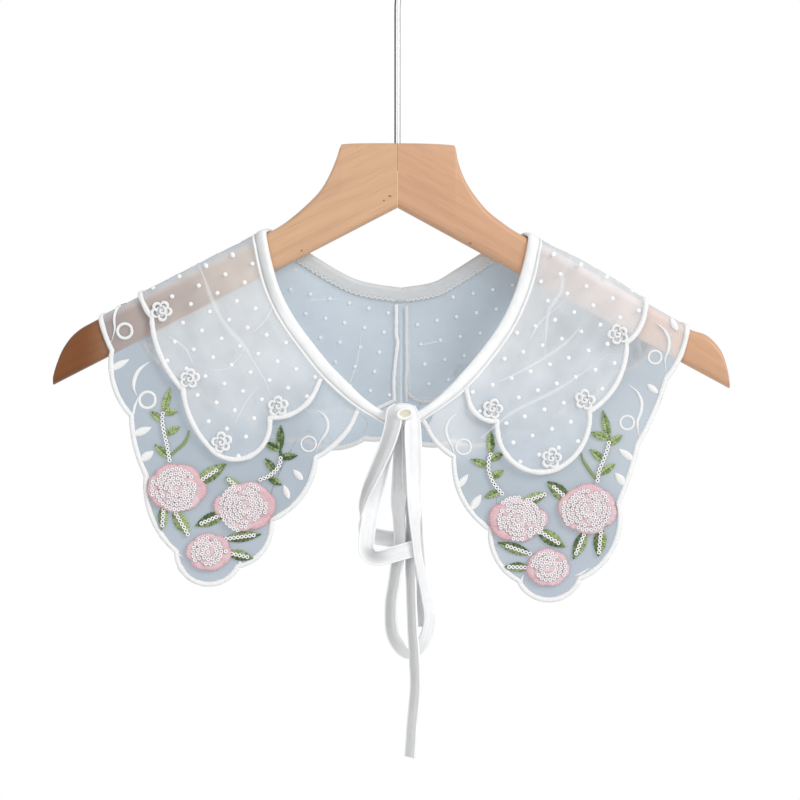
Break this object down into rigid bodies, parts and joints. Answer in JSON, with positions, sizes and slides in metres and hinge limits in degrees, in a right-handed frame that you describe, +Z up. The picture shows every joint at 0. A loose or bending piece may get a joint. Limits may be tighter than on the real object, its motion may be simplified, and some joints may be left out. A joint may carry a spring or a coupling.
{
  "type": "detachable embroidered collar on a wooden hanger",
  "caption": "Sheer two-layer scalloped collar with raised rose sprays, white rosettes and a satin neck binding tied in a bow, hung on a mitred wooden hanger with a wire hook.",
  "frame": {"origin": "inner top of the hanger's hook, where a rail carries it", "axes": "+Z up along the hook's shank, -Y to the front of the collar, +X to the right as seen from the front"},
  "size_m": [0.3655, 0.0567, 0.4823],
  "materials": {
    "organza": "sheer, faint sheen",
    "dotted_organza": "sheer with small raised dots",
    "satin": "satin",
    "rose": "stitched thread",
    "leaf": "stitched thread",
    "thread": "stitched thread",
    "wood": "smooth, clear satin",
    "steel": "bright"
  },
  "bodies": {
    "root": {"bow_knot": "satin", "bow_long_loop": "satin", "bow_short_loop": "satin", "hanger_arm_left": "wood", "hanger_arm_right": "wood", "hanger_hook": "steel", "leaf_left_1": "leaf", "leaf_left_2": "leaf", "leaf_left_3": "leaf", "leaf_left_4": "leaf", "leaf_left_5": "leaf", "leaf_left_6": "leaf", "leaf_left_7": "leaf", "leaf_right_1": "leaf", "leaf_right_2": "leaf", "leaf_right_3": "leaf", "leaf_right_4": "leaf", "leaf_right_5": "leaf", "leaf_right_6": "leaf", "leaf_right_7": "leaf", "neck_binding": "satin", "ribbon_tail_long": "satin", "ribbon_tail_short": "satin", "rose_left_1": "rose", "rose_left_2": "rose", "rose_left_3": "rose", "rose_right_1": "rose", "rose_right_2": "rose", "rose_right_3": "rose", "rosette_left_1": "thread", "rosette_left_2": "thread", "rosette_left_3": "thread", "rosette_left_4": "thread", "rosette_left_6": "thread", "rosette_left_7": "thread", "rosette_left_8": "thread", "rosette_left_9": "thread", "rosette_right_1": "thread", "rosette_right_2": "thread", "rosette_right_3": "thread", "rosette_right_4": "thread", "rosette_right_6": "thread", "rosette_right_7": "thread", "rosette_right_8": "thread", "rosette_right_9": "thread", "top_collar_left": "dotted_organza", "top_collar_right": "dotted_organza", "under_collar_left": "organza", "under_collar_right": "organza", "vine_left_inner": "leaf", "vine_left_outer": "leaf", "vine_right_inner": "leaf", "vine_right_outer": "leaf"}
  },
  "joints": []
}
